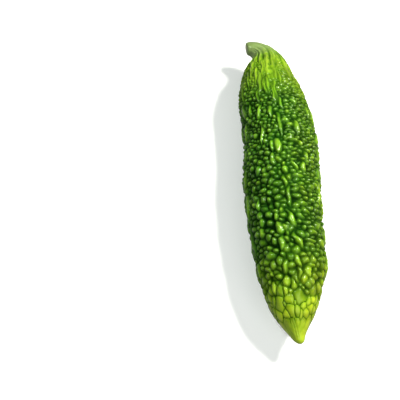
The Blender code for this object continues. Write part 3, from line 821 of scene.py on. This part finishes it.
# %% [markdown]
# ## Lay the fruit down and bend its neck
#
# The turned skin is straight. The real fruit sways a little from side to side, and its neck turns
# over to the left so that the stub of stem points back like a beak. Both are done by carrying
# each ring along a middle line. Its heading changes at a rate of HOOK_TIGHT over the radius, so
# the slim neck bends tighter than the shoulder without ever folding into itself.
#
# Last, the lowest warts are pressed flat by FLAT_DEPTH, as they are under the fruit's own weight.

# %% The middle line
DRIFT = [
    (0, 4.8), (6, 3.2), (14, 2.4), (28, 2.2), (45, 2.3), (62, 1.2), (80, 0.2), (105, 0.1),
    (128, 1.0), (146, 0.0), (160, -1.9), (172, -3.5), (185, -4.8), (200, -5.0), (219, -5.0),
]
MIDDLE_HEIGHT = [
    (0, 21.7), (50, 23.8), (85, 24.3), (115, 25.0), (150, 24.5), (185, 25.5), (210, 27.5),
    (219, 27.5),
]
HOOK_FROM, HOOK_FADE, HOOK_TIGHT = 187.0, 14.0, 0.56
LEAST_NECK = 2.7  # the stub is bent as if it were at least this thick
LINE_MARGIN = 2  # the line runs on past either end of the fruit
FLAT_DEPTH = 0.9


def middle_line():
    """Along, heading, x, y and z of the line.

    x and y are running sums of the sine and cosine of the heading, and x has DRIFT on top.
    """
    along = np.linspace(-LINE_MARGIN, STUB_END + LINE_MARGIN, FINE_STEPS)
    step = along[1] - along[0]
    tight = HOOK_TIGHT * ease(along, HOOK_FROM, HOOK_FADE)
    heading = np.cumsum(tight / np.maximum(outer_radius(along), LEAST_NECK)) * step
    x = curve_through(DRIFT, along) - np.cumsum(np.sin(heading)) * step
    y = along[0] + np.cumsum(np.cos(heading)) * step
    return along, heading, x, y, curve_through(MIDDLE_HEIGHT, along)


def laid_down(height):
    """Points of the skin in millimetres: the profile moved out along its normal, then bent."""
    by_along, by_radius = np.gradient(row_along), np.gradient(row_radius)
    length = np.hypot(by_along, by_radius)
    along = row_along[:, None] - (by_radius / length)[:, None] * height
    radius = row_radius[:, None] + (by_along / length)[:, None] * height
    line, heading, x, y, z = middle_line()
    turn = np.interp(along, line, heading)
    side = radius * np.sin(column_angle)
    points = [
        np.interp(along, line, x) + side * np.cos(turn),
        np.interp(along, line, y) + side * np.sin(turn),
        np.interp(along, line, z) + radius * np.cos(column_angle),
    ]
    return np.stack(points, axis=-1)


points = laid_down(height)
points[..., 2] = np.maximum(points[..., 2] - points[..., 2].min() - FLAT_DEPTH, 0)
middle = (points.min(axis=(0, 1)) + points.max(axis=(0, 1))) / 2
points[..., :2] -= middle[:2]
points = points * MM
print("skin box, mm:", np.round((points.max(axis=(0, 1)) - points.min(axis=(0, 1))) / MM, 1))

# %% [markdown]
# ## From grid to mesh
#
# Four neighbours on the grid make a face, and a fan of triangles closes each end on one point.
# Beside its place, each point carries what the finish needs to know: how high it stands on its
# wart, how far along the fruit it is, whether it is on a lump or rib, its wart's own tone, and
# whether it is on the cut.

# %% Build the skin
CUT_RADIUS = 2.2  # the cut face shows inside this radius
END_TONE = 0.6  # the share that the finish reads at the two closing points


def grid_faces(rows, columns):
    """Quads between neighbouring rows and columns, wrapped round, and a fan at either end."""
    row = np.arange(rows - 1)[:, None] * columns
    column = np.arange(columns)
    after = (column + 1) % columns
    below = row + columns
    quads = np.stack([row + column, below + column, below + after, row + after], axis=-1)
    tip = rows * columns
    last = (rows - 1) * columns
    tip_fan = np.stack([np.full(columns, tip), column, after], axis=-1)
    face_fan = np.stack([np.full(columns, tip + 1), last + after, last + column], axis=-1)
    return quads.reshape(-1, 4).tolist() + tip_fan.tolist() + face_fan.tolist()


def point_values(grid, first, last):
    """A grid's inner rows as a flat list, followed by the values at the two closing points."""
    inner = np.broadcast_to(grid, (ROWS, COLUMNS))[1:-1]
    return np.concatenate([inner.ravel(), [first, last]]).astype(np.float32)


def skin_mesh():
    """The closed mesh of the skin, outward faces, smooth shading, with its attributes."""
    inner = points[1:-1].reshape(-1, 3)
    ends = np.stack([points[0].mean(axis=0), points[-1].mean(axis=0)])
    mesh = bpy.data.meshes.new("melon skin")
    mesh.from_pydata(np.concatenate([inner, ends]).tolist(), [], grid_faces(ROWS - 2, COLUMNS))
    mesh.flip_normals()
    mesh.shade_smooth()
    on_cut = (row_radius < CUT_RADIUS) & (row_along > STUB_END)
    values = {
        "wart_height": point_values(share, END_TONE, END_TONE),
        "along": point_values(row_along[:, None] / STUB_END, 0, 1),
        "on_lump": point_values(kind, 0, 0),
        "tone": point_values(tone, 0, 0),
        "cut_face": point_values(on_cut[:, None], 0, 1),
    }
    for name, value in values.items():
        mesh.attributes.new(name, "FLOAT", "POINT").data.foreach_set("value", value)
    return mesh


melon = in_scene("melon_skin", skin_mesh())
melon.data.calc_loop_triangles()
print("skin:", len(melon.data.vertices), "points,", len(melon.data.loop_triangles), "triangles")

# %% [markdown]
# ## The waxy green finish
#
# The skin is darkest in the valleys and lightest on top of each wart, both because light can't
# reach down there and because the valley skin holds more green. A picture of a melon could be
# wrapped round it, but it would smear over the warts. Reading the height of the wart itself puts
# the colour exactly where the form is.
#
# Three ramps give the green of the body, the yellow-green of the blossom end and the pale
# grey-green of the neck, all read by height, and `along` mixes them. A soft noise mottles the
# result, each wart has a tone of its own, and the right side, where the main light falls, has
# painted light: it is a little lighter and yellower.
# A gloss all over would fill the valleys with a milky sheen, so they are matt, and the clear
# coat of wax lies on the tops of the warts alone.

# %% Node helpers
def feed(tree, value, socket):
    """Links a socket's value to a socket, or sets it to a number or a colour."""
    if isinstance(value, bpy.types.NodeSocket):
        tree.links.new(value, socket)
    else:
        socket.default_value = value


def feed_named(tree, node, values):
    """Feeds a node's sockets by their names."""
    for name, value in values.items():
        feed(tree, value, node.inputs[name])
    return node


def feed_in_order(tree, node, values):
    """Feeds a node's sockets in their order."""
    for value, socket in zip(values, node.inputs):
        feed(tree, value, socket)
    return node


def new_material(name):
    """A new material, its node tree and its shader."""
    material = bpy.data.materials.new(name)
    material.use_nodes = True
    return material, material.node_tree, material.node_tree.nodes["Principled BSDF"]


def read_attribute(tree, name):
    """The value of one of the mesh's own attributes."""
    node = tree.nodes.new("ShaderNodeAttribute")
    node.attribute_name = name
    return node.outputs["Fac"]


def colour_ramp(tree, value, stops):
    """Colours by value, given as (position, (red, green, blue)) in linear light."""
    node = tree.nodes.new("ShaderNodeValToRGB")
    elements = node.color_ramp.elements
    while len(elements) < len(stops):
        elements.new(0.5)
    for element, (position, colour) in zip(elements, stops):
        element.position = position
        element.color = (*colour, 1)
    tree.links.new(value, node.inputs["Fac"])
    return node.outputs["Color"]


def map_range(tree, value, low, high, to_low=0.0, to_high=1.0):
    """Maps low..high of a value smoothly to to_low..to_high."""
    node = tree.nodes.new("ShaderNodeMapRange")
    node.interpolation_type = "SMOOTHSTEP"
    return feed_in_order(tree, node, (value, low, high, to_low, to_high)).outputs["Result"]


def mix_colours(tree, factor, first, second):
    """The second colour over the first, by factor. Its colour sockets are numbers 6 and 7."""
    node = tree.nodes.new("ShaderNodeMix")
    node.data_type = "RGBA"
    for value, number in ((factor, 0), (first, 6), (second, 7)):
        feed(tree, value, node.inputs[number])
    return node.outputs[2]


def scaled(tree, value, by, plus):
    """value times by, plus plus. Each can be a number or a socket."""
    node = tree.nodes.new("ShaderNodeMath")
    node.operation = "MULTIPLY_ADD"
    return feed_in_order(tree, node, (value, by, plus)).outputs["Value"]


def noise(tree, scale, detail):
    """Soft noise on object coordinates."""
    place = tree.nodes.new("ShaderNodeTexCoord").outputs["Object"]
    node = tree.nodes.new("ShaderNodeTexNoise")
    feed_named(tree, node, {"Vector": place, "Scale": scale, "Detail": detail})
    return node.outputs["Fac"]


def one_axis(tree, coordinates, axis):
    """One axis of the object coordinates, or of the direction that the world is seen in."""
    place = tree.nodes.new("ShaderNodeTexCoord")
    parts = tree.nodes.new("ShaderNodeSeparateXYZ")
    tree.links.new(place.outputs[coordinates], parts.inputs["Vector"])
    return parts.outputs[axis]


print("node helpers ready")

# %% The skin's material
# Each ramp runs from the valley floor at 0 to the wart tops at 1. Its dark low stops are painted
# shade in the valleys, as well as the deeper green of the valley skin.
BODY = [
    (0.0, (0.001, 0.018, 0.0002)), (0.45, (0.006, 0.040, 0.0003)), (0.78, (0.045, 0.140, 0.002)),
    (1.0, (0.118, 0.265, 0.010)),
]
BLOSSOM = [
    (0.0, (0.020, 0.070, 0.001)), (0.4, (0.09, 0.19, 0.003)), (0.8, (0.22, 0.345, 0.007)),
    (1.0, (0.30, 0.43, 0.014)),
]
NECK = [
    (0.0, (0.010, 0.060, 0.001)), (0.4, (0.066, 0.155, 0.003)), (0.8, (0.168, 0.290, 0.008)),
    (1.0, (0.24, 0.370, 0.018)),
]
STUB = (0.175, 0.250, 0.078, 1)
CUT = (0.30, 0.34, 0.16, 1)
# Millimetres along over which each green takes over from the one before
TO_NECK, TO_BLOSSOM, TO_STUB = (150, 192), (60, 5), (194, 211)
# Painted light: the right side, where the main light falls, is made lighter and yellower
LIT_SIDE_FROM, LIT_SIDE_TO = -3, 19  # millimetres from the middle of the fruit to its right
LIT_SIDE_LIGHTER, LIT_SIDE_HUE = 0.08, -0.020
TONE_LIGHTER, TONE_HUE, LUMP_LIGHTER = 0.10, -0.006, 0.08


def fruit_green(tree, height):
    """Green by the height of the wart, mixed by the place along the fruit."""
    along = read_attribute(tree, "along")

    def reached(span):
        return map_range(tree, along, span[0] / STUB_END, span[1] / STUB_END)

    colour = colour_ramp(tree, height, BODY)
    colour = mix_colours(tree, reached(TO_NECK), colour, colour_ramp(tree, height, NECK))
    colour = mix_colours(tree, reached(TO_BLOSSOM), colour, colour_ramp(tree, height, BLOSSOM))
    colour = mix_colours(tree, reached(TO_STUB), colour, STUB)
    return mix_colours(tree, read_attribute(tree, "cut_face"), colour, CUT)


def shaded(tree, colour):
    """The colour, changed in value and hue by mottle, tone, lumps and light painted on the right.
    """
    mottle = map_range(tree, noise(tree, 110, 3), 0.3, 0.7, 0.74, 1.18)
    tone = read_attribute(tree, "tone")
    painted_lit_side = map_range(tree, one_axis(tree, "Object", "X"), LIT_SIDE_FROM * MM, LIT_SIDE_TO * MM)
    lighter = scaled(tree, tone, TONE_LIGHTER, 1.0)
    lighter = scaled(tree, read_attribute(tree, "on_lump"), LUMP_LIGHTER, lighter)
    lighter = scaled(tree, painted_lit_side, LIT_SIDE_LIGHTER, lighter)
    hue = scaled(tree, painted_lit_side, LIT_SIDE_HUE, scaled(tree, tone, TONE_HUE, 0.5))
    shade = tree.nodes.new("ShaderNodeHueSaturation")
    value = scaled(tree, lighter, mottle, 0.0)
    feed_named(tree, shade, {"Hue": hue, "Saturation": 1.0, "Value": value, "Color": colour})
    return shade.outputs["Color"]


def waxy_skin():
    """Matt green valleys, and a soft clear coat on the tops of the warts."""
    material, tree, shader = new_material("waxy melon skin")
    height = read_attribute(tree, "wart_height")
    bump = tree.nodes.new("ShaderNodeBump")
    pores = noise(tree, 900, 2)
    feed_named(tree, bump, {"Strength": 0.25, "Distance": 0.0002, "Height": pores})
    finish = {
        "Base Color": shaded(tree, fruit_green(tree, height)),
        "Roughness": map_range(tree, height, 0.3, 0.8, 1.0, 0.27),
        "Specular IOR Level": 0.16,
        "Specular Tint": (0.75, 1.0, 0.45, 1),
        "Coat Weight": map_range(tree, height, 0.45, 0.95, 0.0, 0.50),
        "Coat Roughness": 0.26,
        "Subsurface Weight": 0.06,
        "Subsurface Radius": (0.0012, 0.002, 0.0004),
        "Subsurface Scale": 1.0,
        "Normal": bump.outputs["Normal"],
    }
    feed_named(tree, shader, finish)
    return material


melon.data.materials.append(waxy_skin())
print("material:", melon.data.materials[0].name)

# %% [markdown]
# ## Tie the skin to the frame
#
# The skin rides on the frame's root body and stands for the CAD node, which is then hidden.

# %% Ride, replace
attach(melon, "root")
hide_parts(NODE)
print("melon_skin replaces", NODE)

# %% [markdown]
# ## Floor and light
#
# A studio table: one wide pale plane, and three soft lights. The main light, a slightly warm one,
# stands behind the fruit on its right and is small enough to leave a clear light on every wart
# and a dark side on the left. A weak one of a faint green draws the left edge, and a wide white
# one in front opens the shadows. The world is pale at eye level and weaker overhead.
#
# A pale floor throws light up into the valleys, which would turn them from deep green to grey.
# The fruit could be darkened for that, but then it would be too dark on any other floor. So the
# floor shows and takes shadows, and is left out of the light and the gloss that reach the fruit.

# %% Floor
FLOOR_REACH = 2.0


def pale_floor():
    """A matt plane at z = 0, four metres wide, which neither mirrors in the fruit nor lights it."""
    mesh = bpy.data.meshes.new("floor")
    reach = FLOOR_REACH
    corners = [(-reach, -reach, 0), (reach, -reach, 0), (reach, reach, 0), (-reach, reach, 0)]
    mesh.from_pydata(corners, [], [(0, 1, 2, 3)])
    material, tree, shader = new_material("pale floor")
    finish = {
        "Base Color": (0.86, 0.86, 0.86, 1),
        "Roughness": 0.9,
        "Specular IOR Level": 0.1,
        "Emission Color": (1, 1, 1, 1),
        "Emission Strength": 0.2,
    }
    feed_named(tree, shader, finish)
    mesh.materials.append(material)
    floor = in_scene("floor", mesh)
    floor.visible_diffuse = False
    floor.visible_glossy = False
    return floor


floor = pale_floor()
print("floor is", floor.dimensions.x, "m wide")

# %% Lights and world
MIDDLE = Vector((0, 0, 0.025))
# name, place, size, power and colour
LIGHTS = [
    ("main light", (0.24, 0.08, 0.45), 0.08, 4.5, (1.0, 0.985, 0.90)),
    ("front fill", (0.15, -0.45, 0.50), 0.50, 1.4, (1.0, 1.0, 1.0)),
    ("left light", (-0.22, 0.06, 0.45), 0.10, 1.2, (0.92, 1.0, 0.94)),
]
HORIZON, OVERHEAD = 0.38, 0.08
HORIZON_TO, OVERHEAD_FROM = 0.05, 0.40  # heights of the direction, 1 straight up


def soft_light(name, place, size, power, colour):
    """A square area light aimed at the middle of the fruit."""
    data = bpy.data.lights.new(name, "AREA")
    data.size = size
    data.energy = power
    data.color = colour
    light = in_scene(name, data)
    light.location = place
    light.rotation_euler = (MIDDLE - light.location).to_track_quat("-Z", "Y").to_euler()
    return light


def pale_world():
    """White light from all round: HORIZON strong at eye level, falling smoothly to OVERHEAD."""
    world = bpy.data.worlds.new("pale world")
    world.use_nodes = True
    tree = world.node_tree
    up = one_axis(tree, "Generated", "Z")
    strength = map_range(tree, up, HORIZON_TO, OVERHEAD_FROM, HORIZON, OVERHEAD)
    feed_named(tree, tree.nodes["Background"], {"Color": (1, 1, 1, 1), "Strength": strength})
    bpy.context.scene.world = world


for row in LIGHTS:
    print("light:", soft_light(*row).name)
pale_world()

# %% [markdown]
# ## Camera
#
# The picture was taken from above the near end of the fruit, looking down at 67 degrees, with
# the fruit to the right of the middle of the frame. The lens and the distance were found from
# the fruit's own outline.

# %% Camera
CAMERA_PLACE = Vector((-0.054, -0.1393, 0.3141))
LOOKS_DOWN = np.radians(67.2)
LENS, SENSOR = 43.2, 36


def picture_camera():
    """Looks along +Y and down, with a 43 mm lens on a 36 mm sensor."""
    data = bpy.data.cameras.new("camera")
    data.lens = LENS
    data.sensor_width = SENSOR
    camera = in_scene("camera", data)
    camera.location = CAMERA_PLACE
    camera.rotation_euler = (np.pi / 2 - LOOKS_DOWN, 0, 0)
    bpy.context.scene.camera = camera


picture_camera()
bpy.context.scene.view_settings.view_transform = "Standard"
print("camera at", tuple(round(v, 3) for v in CAMERA_PLACE))
